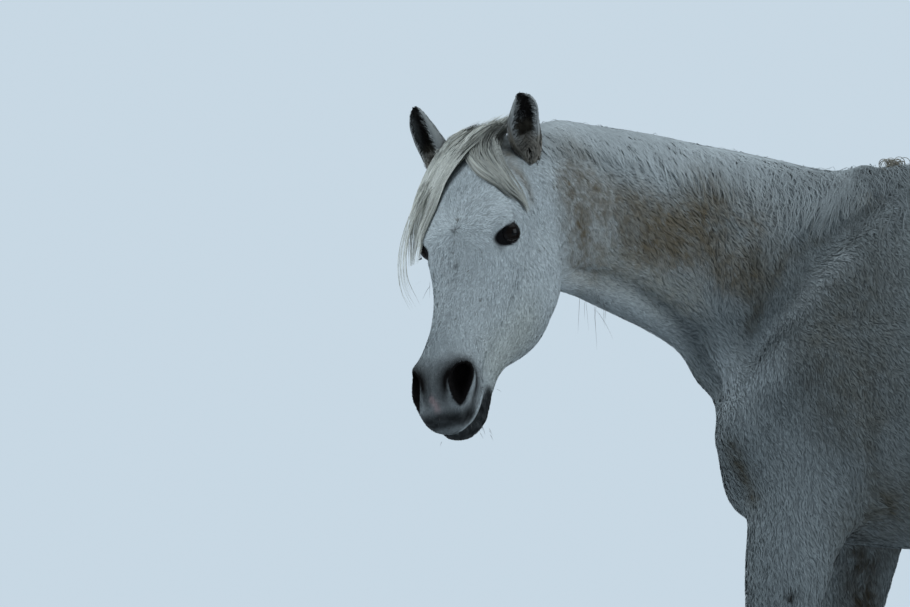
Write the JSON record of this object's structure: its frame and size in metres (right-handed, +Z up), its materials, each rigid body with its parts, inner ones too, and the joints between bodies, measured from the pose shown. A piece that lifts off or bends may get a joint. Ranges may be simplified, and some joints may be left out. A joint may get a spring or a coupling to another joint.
{
  "type": "horse",
  "caption": "Life-size standing horse in a pale grey winter coat, neck level and head turned back to its left, with mane, forelock and tail.",
  "frame": {"origin": "bottom centre of the bounding box, on the floor between the four hooves", "axes": "+Z up; +X towards the tail along the body, so the horse faces -X; +Y towards its right side"},
  "size_m": [2.0671, 1.0763, 1.6068],
  "materials": {
    "coat_grey": "pale grey winter coat, soft and matt",
    "face_pale": "short pale coat of the face, dark bare muzzle",
    "leg_dusky": "short dusky coat of the lower legs",
    "hair_pale": "long pale hair, slightly yellow",
    "ear_dark": "short coat, dark inside the ear",
    "hoof_horn": "dull dark horn",
    "eye_dark": "wet and glossy"
  },
  "bodies": {
    "root": {"head": "face_pale", "neck": "coat_grey", "forequarters": "coat_grey", "barrel": "coat_grey", "hindquarters": "coat_grey", "forearm_left": "coat_grey", "forearm_right": "coat_grey", "fore_cannon_left": "leg_dusky", "fore_cannon_right": "leg_dusky", "fore_pastern_left": "leg_dusky", "fore_pastern_right": "leg_dusky", "fore_hoof_left": "hoof_horn", "fore_hoof_right": "hoof_horn", "gaskin_left": "coat_grey", "gaskin_right": "coat_grey", "hind_cannon_left": "leg_dusky", "hind_cannon_right": "leg_dusky", "hind_pastern_left": "leg_dusky", "hind_pastern_right": "leg_dusky", "hind_hoof_left": "hoof_horn", "hind_hoof_right": "hoof_horn", "ear_left": "ear_dark", "ear_right": "ear_dark", "eye_left": "eye_dark", "eye_right": "eye_dark", "mane": "hair_pale", "forelock_left": "hair_pale", "forelock_right": "hair_pale", "tail": "hair_pale"}
  },
  "joints": []
}
